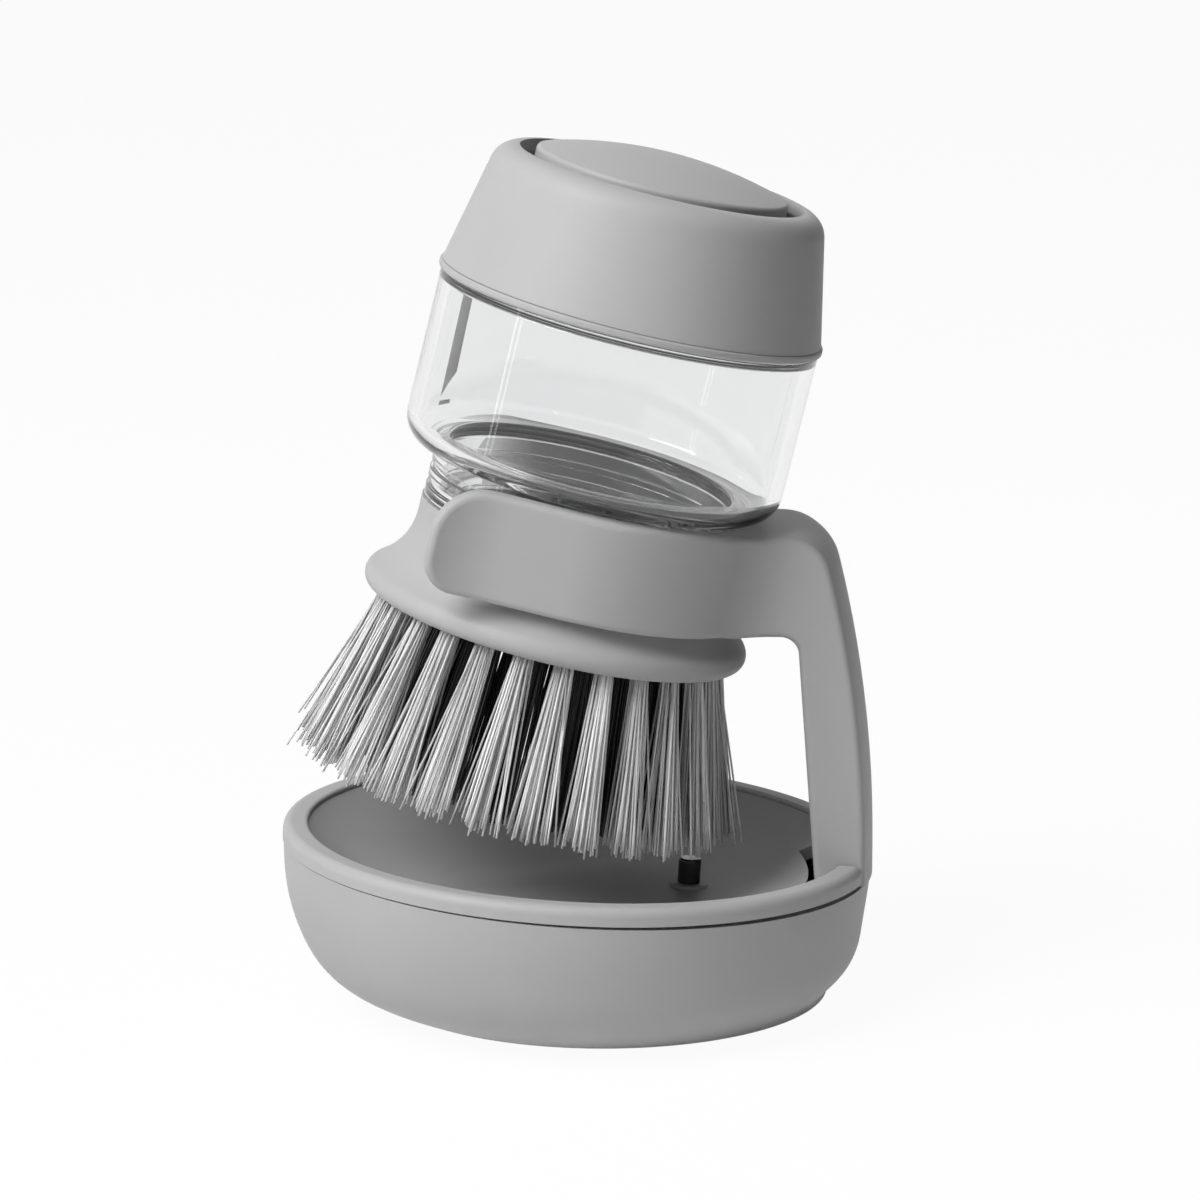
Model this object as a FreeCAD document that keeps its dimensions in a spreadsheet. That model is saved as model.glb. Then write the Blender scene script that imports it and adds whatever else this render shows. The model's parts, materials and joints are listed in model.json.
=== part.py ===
"""Palm-held soap-dispensing dish brush on its storage stand.

The brush is a clear soap reservoir with a press-button pump cap above it and a
round bristle head below it. It hangs by the reservoir in the fork of a stand,
over a dished drip tray that covers a round bowl.

Frame: millimetres, +Z up, origin on the floor under the middle of the bowl rim,
+X toward the post of the stand. Brush parts are drawn in a brush frame whose
origin is the middle of the reservoir underside and whose Z is the brush axis.
"""

import FreeCAD, Part
import Sketcher
import math
import os

doc = FreeCAD.newDocument("dish_brush")
sheet = doc.addObject("Spreadsheet::Sheet", "Sizes")


class Size:
    """A number that carries its spreadsheet expression along with its value."""

    def __init__(self, text, value):
        self.text = text
        self.value = value

    @staticmethod
    def of(other):
        return other if isinstance(other, Size) else Size(repr(float(other)), float(other))

    def joined(self, sign, other, value):
        return Size(f"({self.text} {sign} {other.text})", value)

    def __add__(self, other):
        other = Size.of(other)
        return self.joined("+", other, self.value + other.value)

    def __sub__(self, other):
        other = Size.of(other)
        return self.joined("-", other, self.value - other.value)

    def __mul__(self, other):
        other = Size.of(other)
        return self.joined("*", other, self.value * other.value)

    def __truediv__(self, other):
        other = Size.of(other)
        return self.joined("/", other, self.value / other.value)

    def __radd__(self, other):
        return Size.of(other) + self

    def __rsub__(self, other):
        return Size.of(other) - self

    def __rmul__(self, other):
        return Size.of(other) * self

    def __neg__(self):
        return Size.of(0) - self


def root(size):
    return Size(f"sqrt({size.text})", math.sqrt(size.value))


def sine(angle):
    return Size(f"sin({angle.text} * 1 deg)", math.sin(math.radians(angle.value)))


def cosine(angle):
    return Size(f"cos({angle.text} * 1 deg)", math.cos(math.radians(angle.value)))


def tangent(angle):
    return Size(f"tan({angle.text} * 1 deg)", math.tan(math.radians(angle.value)))


rows = []


def size(alias, value, note):
    """Add one driving dimension to the sheet and return it as a Size."""
    rows.append(alias)
    row = len(rows)
    sheet.set(f"A{row}", note)
    sheet.set(f"B{row}", str(value))
    sheet.setAlias(f"B{row}", alias)
    return Size(f"Sizes.{alias}", float(value))


# Shared fits
slack = size("slack", 0.3, "gap between parts that move past each other")
fit = size("fit", 0.1, "gap between parts assembled together")
seat_gap = size("seat_gap", 0.2, "reservoir underside above the fork")

# Where the brush hangs
lean = size("lean", 13.6, "brush axis from vertical, degrees, toward the post")
hang_out = size("hang_out", 49.9, "brush axis ahead of the back of the post")
seat_z = size("seat_z", 92.5, "reservoir underside centre above the floor")

# Reservoir
reservoir_radius = size("reservoir_radius", 33.4, "clear wall, outside")
reservoir_height = size("reservoir_height", 30.7, "underside to cap ring")
reservoir_wall = size("reservoir_wall", 2.4, "clear wall thickness")
reservoir_floor = size("reservoir_floor", 2.6, "clear floor thickness")
reservoir_corner = size("reservoir_corner", 5.0, "rounding of the underside edge")
floor_corner = size("floor_corner", 2.4, "rounding inside at the floor")
collar_radius = size("collar_radius", 27.3, "clear collar under the reservoir")
collar_height = size("collar_height", 8.7, "visible length of the collar")
groove_depth = size("groove_depth", 0.7, "rings turned in the collar")
groove_width = size("groove_width", 1.2, "width of each ring")
groove_first = size("groove_first", 2.6, "first ring below the underside")
groove_pitch = size("groove_pitch", 3.0, "spacing of the rings")
neck_wall = size("neck_wall", 2.4, "collar wall thickness")
spigot_step = size("spigot_step", 3.0, "spigot inside the collar")
spigot_length = size("spigot_length", 8.7, "spigot below the collar")
spigot_wall = size("spigot_wall", 2.4, "spigot wall thickness")
mouth_inset = size("mouth_inset", 3.4, "upper mouth inside the reservoir wall")
mouth_height = size("mouth_height", 5.7, "upper mouth above the cap ring seat")
mouth_wall = size("mouth_wall", 2.2, "upper mouth wall thickness")
mouth_shelf = size("mouth_shelf", 1.3, "shelf inside the upper mouth")
snap_height = size("snap_height", 0.4, "snap bead standing off the mouth")
snap_start = size("snap_start", 2.4, "snap bead above the cap ring seat")
snap_width = size("snap_width", 1.8, "snap bead width")

# Bayonet between reservoir and brush head
lug_count = 3
lug_height = size("lug_height", 1.2, "lug standing off the spigot")
lug_depth = size("lug_depth", 1.8, "lug along the axis")
lug_drop = size("lug_drop", 4.1, "lug top below the collar")
lug_half = size("lug_half", 12.0, "half angle of a lug, degrees")
slot_extra = size("slot_extra", 2.0, "extra half angle of an entry slot, degrees")
twist = size("twist", 60.0, "turn that frees the head, degrees")

# Brush head
head_step = size("head_step", 0.2, "head collar outside the clear collar")
head_top = size("head_top", 9.0, "head top below the reservoir underside")
head_waist = size("head_waist", 3.1, "straight part of the head collar")
flange_radius = size("flange_radius", 34.1, "widest part of the head")
flange_drop = size("flange_drop", 24.4, "widest part below the reservoir underside")
flange_round = size("flange_round", 2.0, "rounding under the flange")
bell_share = size("bell_share", 0.82, "hollow share of the flare")
socket_depth = size("socket_depth", 10.0, "socket for the spigot")
seal_thick = size("seal_thick", 1.3, "neck seal thickness")
outlet_radius = size("outlet_radius", 6.0, "soap channel")
valve_pocket = size("valve_pocket", 9.0, "valve pocket radius")
valve_depth = size("valve_depth", 4.8, "valve pocket depth")

# Bristle tufts
hole_depth = size("hole_depth", 4.4, "tuft hole depth")
tuft_root = size("tuft_root", 1.5, "tuft radius at its root")
tip_drop = size("tip_drop", 56.4, "bristle tips below the reservoir underside")
root_margin = size("root_margin", 6.2, "outer ring of roots inside the flange")
outer_tip = size("outer_tip", 36.4, "outer ring radius at the tips")
outer_spread = size("outer_spread", 3.8, "outer tuft radius at its tip")
root_pitch = size("root_pitch", 7.4, "spacing of the rings at the roots")
tip_pitch = size("tip_pitch", 9.9, "spacing of the rings at the tips")
middle_spread = size("middle_spread", 3.4, "middle tuft radius at its tip")
inner_spread = size("inner_spread", 3.2, "inner tuft radius at its tip")
outer_count = 26
middle_count = 15
inner_count = 10

# Slit valve and its ring
valve_flange = size("valve_flange", 1.1, "valve flange thickness")
valve_dome = size("valve_dome", 4.8, "valve dome radius at the flange")
valve_tip = size("valve_tip", 3.6, "valve dome radius at the tip")
valve_drop = size("valve_drop", 2.2, "valve dome length")
valve_skin = size("valve_skin", 1.1, "valve dome thickness")
slit_length = size("slit_length", 4.0, "slit in the dome")
slit_width = size("slit_width", 0.4, "slit opening")

# Cap
trim_radius = size("trim_radius", 33.9, "cap ring, outside")
trim_height = size("trim_height", 1.3, "cap ring height")
trim_edge = size("trim_edge", 0.4, "rounding of the cap ring edges")
cap_radius = size("cap_radius", 33.5, "cap shell at its foot")
cap_height = size("cap_height", 21.9, "cap shell height")
cap_land = size("cap_land", 3.6, "flat from the opening to the cap edge, before rounding")
shoulder_share = size("shoulder_share", 1.18, "shoulder rounding over that flat")
button_gap = size("button_gap", 2.9, "opening around the button")
cap_wall = size("cap_wall", 2.2, "cap wall thickness")
cap_lip = size("cap_lip", 2.2, "straight lip of the opening")
lip_round = size("lip_round", 0.6, "rounding of the opening edge")
guide_room = size("guide_room", 5.7, "straight inside of the cap above the pump plate")
gasket_thick = size("gasket_thick", 1.0, "cap gasket thickness")

# Pump
plate_thick = size("plate_thick", 2.0, "pump plate thickness")
plate_hole = size("plate_hole", 3.0, "air hole in the pump plate")
guide_height = size("guide_height", 9.6, "button guide above the plate")
guide_wall = size("guide_wall", 1.5, "button guide wall at its foot")
guide_step = size("guide_step", 6.1, "step in the guide above the plate")
clamp_gap = size("clamp_gap", 1.0, "bellows clamp inside the spring")
flange_width = size("flange_width", 3.3, "bellows flange width")
bellows_top = size("bellows_top", 7.4, "bellows radius at its top")
bellows_height = size("bellows_height", 12.8, "bellows height")
bellows_skin = size("bellows_skin", 1.2, "bellows thickness")
clamp_width = size("clamp_width", 1.0, "clamp ring wall")
coil_gap = size("coil_gap", 1.5, "return spring inside the button skirt")
wire_radius = size("wire_radius", 0.6, "return spring wire radius")
coil_turns = 4
vent_hole = size("vent_hole", 1.1, "air valve hole radius")
vent_disc = size("vent_disc", 3.2, "air valve disc radius")
vent_thick = size("vent_thick", 0.7, "air valve disc thickness")
vent_head = size("vent_head", 1.5, "air valve head radius")
vent_head_thick = size("vent_head_thick", 0.4, "air valve head thickness")

# Button
button_radius = size("button_radius", 22.2, "button skirt radius")
button_edge = size("button_edge", 0.6, "button edge above the cap opening")
button_rise = size("button_rise", 3.4, "dome above the button edge")
button_round = size("button_round", 0.8, "rounding of the button edge")
button_wall = size("button_wall", 1.8, "button wall thickness")
button_roof = size("button_roof", 2.0, "button roof thickness")
skirt_clear = size("skirt_clear", 4.6, "button skirt above the pump plate")
catch_width = size("catch_width", 0.9, "catch ring standing off the skirt")
catch_height = size("catch_height", 1.2, "catch ring height")
pusher_radius = size("pusher_radius", 5.0, "pusher under the dome")
ledge_width = size("ledge_width", 1.7, "spring ledge inside the spring")

# Stand: foot and bowl
foot_offset = size("foot_offset", 9.0, "foot centre toward the post")
foot_margin = size("foot_margin", 7.3, "non-slip foot inside the bowl edge")
foot_thick = size("foot_thick", 1.5, "non-slip foot thickness")
bowl_radius = size("bowl_radius", 51.8, "bowl at its rim")
bowl_wall = size("bowl_wall", 2.2, "bowl wall thickness")
bowl_floor = size("bowl_floor", 2.7, "bowl floor thickness")
bowl_tall = size("bowl_tall", 34.0, "bowl before its rim is trimmed")
low_inset = size("low_inset", 12.3, "bowl radius loss at the foot")
low_offset = size("low_offset", 4.5, "bowl centre at the foot")
floor_inset = size("floor_inset", 8.2, "bowl radius loss at the floor")
floor_offset = size("floor_offset", 2.0, "bowl centre at the floor")
belly_z = size("belly_z", 8.5, "belly section height")
belly_inset = size("belly_inset", 4.1, "bowl radius loss at the belly")
belly_offset = size("belly_offset", 1.2, "bowl centre at the belly")
flank_z = size("flank_z", 14.0, "flank section height")
flank_inset = size("flank_inset", 2.0, "bowl radius loss at the flank")
flank_offset = size("flank_offset", 0.4, "bowl centre at the flank")
upper_z = size("upper_z", 20.0, "upper section height")
upper_inset = size("upper_inset", 0.7, "bowl radius loss at the upper section")
brim_z = size("brim_z", 26.5, "brim section height")
brim_inset = size("brim_inset", 0.1, "bowl radius loss at the brim section")

# Stand: drip tray
rim_z = size("rim_z", 29.6, "tray rim top above the floor, at the middle")
rim_tilt = size("rim_tilt", 3.05, "tray rim slope, degrees, down toward the post")
rim_height = size("rim_height", 3.1, "tray rim height")
rim_width = size("rim_width", 4.4, "tray rim width")
rim_round = size("rim_round", 1.6, "rounding of the rim outer edge")
rim_inner_round = size("rim_inner_round", 0.7, "rounding of the rim inner edge")
rim_step = size("rim_step", 0.9, "dish edge below the rim")
dish_depth = size("dish_depth", 8.8, "dish floor below the rim")
dish_run = size("dish_run", 21.4, "curved part of the dish, width")
tray_thick = size("tray_thick", 2.0, "tray thickness")
skirt_depth = size("skirt_depth", 2.1, "locating skirt below the rim")
skirt_slack = size("skirt_slack", 0.7, "locating skirt inside the bowl wall")
skirt_width = size("skirt_width", 3.7, "locating skirt width")
seam_tilt = size("seam_tilt", 0.4, "extra slope of the bowl rim, degrees")
notch_gap = size("notch_gap", 3.2, "notch corner ahead of the post")
notch_bulge = size("notch_bulge", 1.7, "lobe of the notch toward the post")
notch_slack = size("notch_slack", 0.5, "notch beside the post")
plug_inset = size("plug_inset", 6.0, "drain plug inside the flat of the dish")
plug_radius = size("plug_radius", 2.0, "drain plug radius")
plug_height = size("plug_height", 4.4, "drain plug above its ring")
plug_stem = size("plug_stem", 1.2, "drain plug stem radius")
plug_edge = size("plug_edge", 0.4, "rounding of the drain plug top")
drain_ring = size("drain_ring", 3.4, "raised ring around the drain, radius")
drain_ring_height = size("drain_ring_height", 0.5, "raised ring height")

# Stand: arm
arm_gap = size("arm_gap", 0.43, "fork beside the brush head")
arm_thick = size("arm_thick", 3.3, "fork wall thickness")
band_height = size("band_height", 18.4, "fork height")
arm_reach = size("arm_reach", 23.8, "fork ends from the brush axis")
flare_length = size("flare_length", 12.0, "flared end of the fork")
flare_out = size("flare_out", 3.0, "fork ends outward")
tip_round = size("tip_round", 8.4, "rounding of the fork ends, above")
tip_low_round = size("tip_low_round", 6.0, "rounding of the fork ends, below")
post_width = size("post_width", 26.0, "post width")
web_round = size("web_round", 12.0, "hollow between fork and post")
stem_top = size("stem_top", 85.0, "top of the post")
stem_bottom = size("stem_bottom", 67.2, "underside of the bridge")
bend_round = size("bend_round", 6.0, "bend from fork to bridge")
knee_round = size("knee_round", 8.0, "outer knee of the post")
knee_inner = size("knee_inner", 3.2, "inner knee of the post")
post_rise = size("post_rise", 5.0, "upright foot of the post, outside")
post_bow = size("post_bow", 210.0, "bow of the post, outside")
post_foot_thick = size("post_foot_thick", 9.4, "post thickness at its foot")
post_head_in = size("post_head_in", 13.2, "post inner face at the bridge, inside the bowl rim")
edge_round = size("edge_round", 1.2, "rounding of the arm edges")
tongue_top_in = size("tongue_top_in", 4.7, "tongue outer face at the bowl rim, inside it")
tongue_flank_in = size("tongue_flank_in", 6.3, "tongue outer face at the flank, inside the rim")
tongue_foot_in = size("tongue_foot_in", 8.9, "tongue outer face at its foot, inside the rim")
boss_z = size("boss_z", 7.0, "arm boss top")
sole_top = size("sole_top", 13.4, "arm sole top")
sole_in = size("sole_in", 19.5, "arm sole inner edge, inside the rim")
screw_in = size("screw_in", 14.6, "arm screws inside the rim")
screw_y = size("screw_y", 7.0, "arm screws from the mid plane")
screw_radius = size("screw_radius", 1.45, "arm screw shank radius")
screw_head = size("screw_head", 2.8, "arm screw head radius")
screw_head_z = size("screw_head_z", 2.0, "arm screw head height")
screw_length = size("screw_length", 8.4, "arm screw shank length")
boss_margin = size("boss_margin", 3.9, "boss around the screws")

# Sizes that follow from those above
seat_x = bowl_radius - hang_out
spigot_radius = collar_radius - spigot_step
mouth_radius = reservoir_radius - mouth_inset
plate_radius = mouth_radius - fit
head_radius = collar_radius + head_step
outer_root = flange_radius - root_margin
middle_root = outer_root - root_pitch
inner_root = middle_root - root_pitch
middle_tip = outer_tip - tip_pitch
inner_tip = middle_tip - tip_pitch
cap_opening = button_radius + button_gap
cap_crown = cap_opening + cap_land
cap_shoulder = shoulder_share * cap_land
coil_radius = button_radius - button_wall - coil_gap
ledge_inner = coil_radius - ledge_width
clamp_out = coil_radius - wire_radius - clamp_gap
bellows_flange = clamp_out - clamp_width - fit
bellows_foot = bellows_flange - flange_width
low_radius = bowl_radius - low_inset
foot_radius = low_radius - foot_margin
rim_inner = bowl_radius - rim_width
dish_flat = rim_inner - dish_run
plug_x = dish_flat - plug_inset
flare_start = arm_reach - flare_length
post_foot_x = bowl_radius - post_foot_thick
post_head_x = bowl_radius - post_head_in
notch_inner = post_foot_x - notch_gap
screw_x = bowl_radius - screw_in

ZERO = Size.of(0)
V = FreeCAD.Vector


def body(label, place=None):
    """Start a body; place is (x, z, angle) with the angle about +Y in degrees."""
    new = doc.addObject("PartDesign::Body", label)
    new.Label = label
    new.AllowCompound = True
    if place:
        x, z, angle = place
        turn = FreeCAD.Rotation(V(0, 1, 0), angle.value)
        new.Placement = FreeCAD.Placement(V(x.value, 0, z.value), turn)
        new.setExpression("Placement.Base.x", x.text)
        new.setExpression("Placement.Base.z", z.text)
        new.setExpression("Placement.Rotation.Angle", f"{angle.text} * 1 deg")
    return new


def sketch(owner, name, role, height=None):
    """Attach a sketch to one of the body's own planes, height above it."""
    new = owner.newObject("Sketcher::SketchObject", name)
    plane = [f for f in owner.Origin.OriginFeatures if f.Role == role][0]
    new.AttachmentSupport = [(plane, "")]
    new.MapMode = "FlatFace"
    if height is not None:
        new.setExpression("AttachmentOffset.Base.z", height.text)
    return new


def bind(sk, constraint, number):
    """Add a dimension to a sketch and bind it to the sheet."""
    index = sk.addConstraint(constraint)
    sk.setExpression(f"Constraints[{index}]", number.text)


def arc_centre(a, b, radius, side):
    """Centre of the short arc from a to b, on the left (+1) or right (-1) of the way."""
    along = b - a
    half = along.Length / 2
    left = V(-along.y, along.x, 0)
    left.normalize()
    return (a + b) / 2 + left * side * math.sqrt(max(radius * radius - half * half, 0.0))


def outline(sk, corners):
    """Draw a closed outline. A corner is (x, y), or (x, y, radius, side) for an arc to it."""
    spots = [tuple(Size.of(n) for n in c[:2]) for c in corners]
    points = [V(x.value, y.value, 0) for x, y in spots]
    pieces = []
    for i, corner in enumerate(corners):
        a, b = points[i - 1], points[i]
        if len(corner) == 2:
            geo = sk.addGeometry(Part.LineSegment(a, b))
            pieces.append((geo, 1, 2))
            continue
        radius, side = Size.of(corner[2]), corner[3]
        centre = arc_centre(a, b, radius.value, side)
        start, end = (a, b) if side > 0 else (b, a)
        first = math.atan2(start.y - centre.y, start.x - centre.x)
        last = math.atan2(end.y - centre.y, end.x - centre.x)
        circle = Part.Circle(centre, V(0, 0, 1), radius.value)
        geo = sk.addGeometry(Part.ArcOfCircle(circle, first, last))
        pieces.append((geo, 1, 2) if side > 0 else (geo, 2, 1))
        bind(sk, Sketcher.Constraint("Radius", geo, radius.value), radius)
    for i, (geo, first, last) in enumerate(pieces):
        after = pieces[(i + 1) % len(pieces)]
        sk.addConstraint(Sketcher.Constraint("Coincident", geo, last, after[0], after[1]))
        x, y = spots[i]
        bind(sk, Sketcher.Constraint("DistanceX", -1, 1, geo, last, x.value), x)
        bind(sk, Sketcher.Constraint("DistanceY", -1, 1, geo, last, y.value), y)


def disc(sk, x, y, radius):
    """Draw a circle bound to the sheet."""
    x, y = Size.of(x), Size.of(y)
    geo = sk.addGeometry(Part.Circle(V(x.value, y.value, 0), V(0, 0, 1), radius.value))
    bind(sk, Sketcher.Constraint("Radius", geo, radius.value), radius)
    bind(sk, Sketcher.Constraint("DistanceX", -1, 1, geo, 3, x.value), x)
    bind(sk, Sketcher.Constraint("DistanceY", -1, 1, geo, 3, y.value), y)


def turned(owner, name, corners):
    """Revolve a closed profile of (radius, height) corners about the body's Z axis."""
    sk = sketch(owner, f"{name}_profile", "XZ_Plane")
    outline(sk, corners)
    feature = owner.newObject("PartDesign::Revolution", name)
    feature.Profile = sk
    feature.ReferenceAxis = (sk, ["V_Axis"])
    feature.Angle = 360
    doc.recompute()
    return feature


def padded(owner, name, sk, length):
    feature = owner.newObject("PartDesign::Pad", name)
    feature.Profile = sk
    feature.setExpression("Length", length.text)
    doc.recompute()
    return feature


def cut_through(owner, name, sk, both=True):
    """Pocket through everything, to both sides of the sketch or above it only."""
    feature = owner.newObject("PartDesign::Pocket", name)
    feature.Profile = sk
    feature.Type = "ThroughAll"
    feature.Midplane = both
    feature.Reversed = not both
    doc.recompute()
    return feature


def cut_up(owner, name, sk, depth):
    """Pocket upward from the sketch by a depth."""
    feature = owner.newObject("PartDesign::Pocket", name)
    feature.Profile = sk
    feature.Reversed = True
    feature.setExpression("Length", depth.text)
    doc.recompute()
    return feature


def lofted(owner, name, kind, sections):
    """Loft through discs given as (name, height, x, y, radius)."""
    sketches = []
    for label, height, x, y, radius in sections:
        sk = sketch(owner, f"{name}_{label}", "XY_Plane", height)
        disc(sk, x, y, radius)
        sketches.append(sk)
    feature = owner.newObject(f"PartDesign::{kind}", name)
    feature.Profile = sketches[0]
    feature.Sections = sketches[1:]
    doc.recompute()
    return feature


def ringed(owner, name, feature, count):
    """Repeat a feature around the body's Z axis."""
    pattern = owner.newObject("PartDesign::PolarPattern", name)
    pattern.Originals = [feature]
    axis = [f for f in owner.Origin.OriginFeatures if f.Role == "Z_Axis"][0]
    pattern.Axis = (axis, [""])
    pattern.Angle = 360
    pattern.Occurrences = count
    owner.Tip = pattern
    doc.recompute()
    return pattern


def rounded(owner, name, radius, wanted):
    """Round the edges of the tip for which wanted(edge) is true."""
    base = owner.Tip
    names = [f"Edge{i + 1}" for i, e in enumerate(base.Shape.Edges) if wanted(e)]
    feature = owner.newObject("PartDesign::Fillet", name)
    feature.Base = (base, names)
    feature.setExpression("Radius", radius.text)
    doc.recompute()
    return feature


def ring_edge(*spots):
    """Test for circular edges at any of the (radius, height) spots, in the body's frame."""
    near = 1e-3

    def wanted(edge):
        if edge.Degenerated or not isinstance(edge.Curve, Part.Circle):
            return False
        curve = edge.Curve
        return any(
            abs(curve.Radius - r.value) < near and abs(curve.Center.z - h.value) < near
            for r, h in spots
        )

    return wanted


def sector(sk, inner, outer, middle, half):
    """Draw a ring sector about the origin, angles in degrees."""
    low, high = middle - half, middle + half
    outline(
        sk,
        [
            (inner * cosine(low), inner * sine(low), inner, -1),
            (outer * cosine(low), outer * sine(low)),
            (outer * cosine(high), outer * sine(high), outer, 1),
            (inner * cosine(high), inner * sine(high)),
        ],
    )


BRUSH = (seat_x, seat_z, lean)
TRAY = (ZERO, rim_z, rim_tilt)

# Reservoir: clear tub, grooved collar, spigot with lugs, upper mouth for the cap
inside_radius = reservoir_radius - reservoir_wall
mouth_inner = mouth_radius - mouth_wall
mouth_top = reservoir_height + mouth_height
spigot_end = -(collar_height + spigot_length)
spigot_inner = spigot_radius - spigot_wall
neck_inner = collar_radius - neck_wall
snap_low = reservoir_height + snap_start
snap_high = snap_low + snap_width
groove_radius = collar_radius - groove_depth
second_groove = groove_first + groove_pitch
reservoir = body("reservoir", BRUSH)
turned(
    reservoir,
    "tub",
    [
        (collar_radius, ZERO),
        (reservoir_radius, ZERO),
        (reservoir_radius, reservoir_height),
        (mouth_radius, reservoir_height),
        (mouth_radius, snap_low - snap_height),
        (mouth_radius + snap_height, snap_low),
        (mouth_radius + snap_height, snap_high - snap_height),
        (mouth_radius, snap_high),
        (mouth_radius, mouth_top),
        (mouth_inner, mouth_top),
        (mouth_inner, reservoir_height - mouth_shelf),
        (inside_radius, reservoir_height - mouth_shelf),
        (inside_radius, reservoir_floor),
        (neck_inner, reservoir_floor),
        (neck_inner, spigot_wall - collar_height),
        (spigot_inner, spigot_wall - collar_height),
        (spigot_inner, spigot_end),
        (spigot_radius, spigot_end),
        (spigot_radius, -collar_height),
        (collar_radius, -collar_height),
        (collar_radius, -(second_groove + groove_width)),
        (groove_radius, -(second_groove + groove_width)),
        (groove_radius, -second_groove),
        (collar_radius, -second_groove),
        (collar_radius, -(groove_first + groove_width)),
        (groove_radius, -(groove_first + groove_width)),
        (groove_radius, -groove_first),
        (collar_radius, -groove_first),
    ],
)
rounded(reservoir, "underside_round", reservoir_corner, ring_edge((reservoir_radius, ZERO)))
rounded(reservoir, "floor_round", floor_corner, ring_edge((inside_radius, reservoir_floor)))
lug_top = collar_height + lug_drop
lug_sketch = sketch(reservoir, "lug_outline", "XY_Plane", -(lug_top + lug_depth))
sector(lug_sketch, spigot_radius - fit, spigot_radius + lug_height, ZERO, lug_half)
lug = padded(reservoir, "lug", lug_sketch, lug_depth)
ringed(reservoir, "lugs", lug, lug_count)

# Brush head: bell with a bayonet socket, soap channel, valve pocket and tuft holes
bore = spigot_radius + slack
channel = spigot_radius + lug_height + slack
socket_floor = head_top + socket_depth
flange_low = flange_drop + flange_round
waist_low = head_top + head_waist
flare_out_by = flange_radius - head_radius
flare_down = flange_drop - waist_low
flare_sum = (flare_out_by * flare_out_by + flare_down * flare_down) / (2 * flare_out_by)
sole_radius = flange_radius - flange_round
pocket_roof = flange_low - valve_depth
brush_head = body("brush_head", BRUSH)
turned(
    brush_head,
    "bell",
    [
        (bore, -head_top),
        (head_radius, -head_top),
        (head_radius, -waist_low),
        (
            head_radius + bell_share * flare_out_by,
            -(waist_low + bell_share * flare_down),
            bell_share * flare_sum,
            1,
        ),
        (flange_radius, -flange_drop, (1 - bell_share) * flare_sum, -1),
        (sole_radius, -flange_low, flange_round, -1),
        (valve_pocket, -flange_low),
        (valve_pocket, -pocket_roof),
        (outlet_radius, -pocket_roof),
        (outlet_radius, -socket_floor),
        (bore, -socket_floor),
        (bore, -(lug_top + lug_depth + slack)),
        (channel, -(lug_top + lug_depth + slack)),
        (channel, -(lug_top - slack)),
        (bore, -(lug_top - slack)),
    ],
)
slot_sketch = sketch(brush_head, "slot_outline", "XY_Plane", -lug_top)
sector(slot_sketch, bore - fit, channel, twist, lug_half + slot_extra)
slot = cut_up(brush_head, "slot", slot_sketch, lug_top)
ringed(brush_head, "slots", slot, lug_count)
hole_top = -(flange_low - hole_depth)
rings = [
    ("outer", outer_root, outer_tip, outer_spread, outer_count),
    ("middle", middle_root, middle_tip, middle_spread, middle_count),
    ("inner", inner_root, inner_tip, inner_spread, inner_count),
]
for ring, near_root, near_tip, spread, count in rings:
    hole = lofted(
        brush_head,
        f"{ring}_hole",
        "SubtractiveLoft",
        [
            ("roof", hole_top, near_root, ZERO, tuft_root + fit),
            ("mouth", -tip_drop, near_tip, ZERO, spread + fit),
        ],
    )
    ringed(brush_head, f"{ring}_holes", hole, count)

# Bristle tufts: each ring is one group of flared bundles, trimmed flat at the tips
for ring, near_root, near_tip, spread, count in rings:
    tufts = body(f"{ring}_tufts", BRUSH)
    tuft = lofted(
        tufts,
        f"{ring}_tuft",
        "AdditiveLoft",
        [
            ("root", hole_top - fit, near_root, ZERO, tuft_root),
            ("tip", -tip_drop, near_tip, ZERO, spread),
        ],
    )
    ringed(tufts, f"{ring}_ring", tuft, count)

# Neck seal between spigot and socket floor
neck_seal = body("neck_seal", BRUSH)
turned(
    neck_seal,
    "seal",
    [
        (spigot_inner, -socket_floor),
        (spigot_radius, -socket_floor),
        (spigot_radius, -(socket_floor - seal_thick)),
        (spigot_inner, -(socket_floor - seal_thick)),
    ],
)

# Slit valve and the ring that holds it
flange_top = -(pocket_roof + fit)
flange_under = flange_top - valve_flange
dome_end = flange_under - valve_drop
slit_valve = body("slit_valve", BRUSH)
turned(
    slit_valve,
    "valve",
    [
        (valve_dome - valve_skin, flange_top),
        (valve_pocket - slack, flange_top),
        (valve_pocket - slack, flange_under),
        (valve_dome, flange_under),
        (valve_tip, dome_end),
        (ZERO, dome_end),
        (ZERO, dome_end + valve_skin),
        (valve_tip - valve_skin, dome_end + valve_skin),
    ],
)
slit_sketch = sketch(slit_valve, "slit_outline", "XY_Plane")
outline(
    slit_sketch,
    [
        (-slit_length / 2, -slit_width / 2),
        (slit_length / 2, -slit_width / 2),
        (slit_length / 2, slit_width / 2),
        (-slit_length / 2, slit_width / 2),
    ],
)
cut_through(slit_valve, "slit", slit_sketch)
valve_ring = body("valve_ring", BRUSH)
turned(
    valve_ring,
    "ring",
    [
        (valve_dome + slack, -flange_low + fit),
        (valve_pocket - fit, -flange_low + fit),
        (valve_pocket - fit, flange_under),
        (valve_dome + slack, flange_under),
    ],
)

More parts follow.
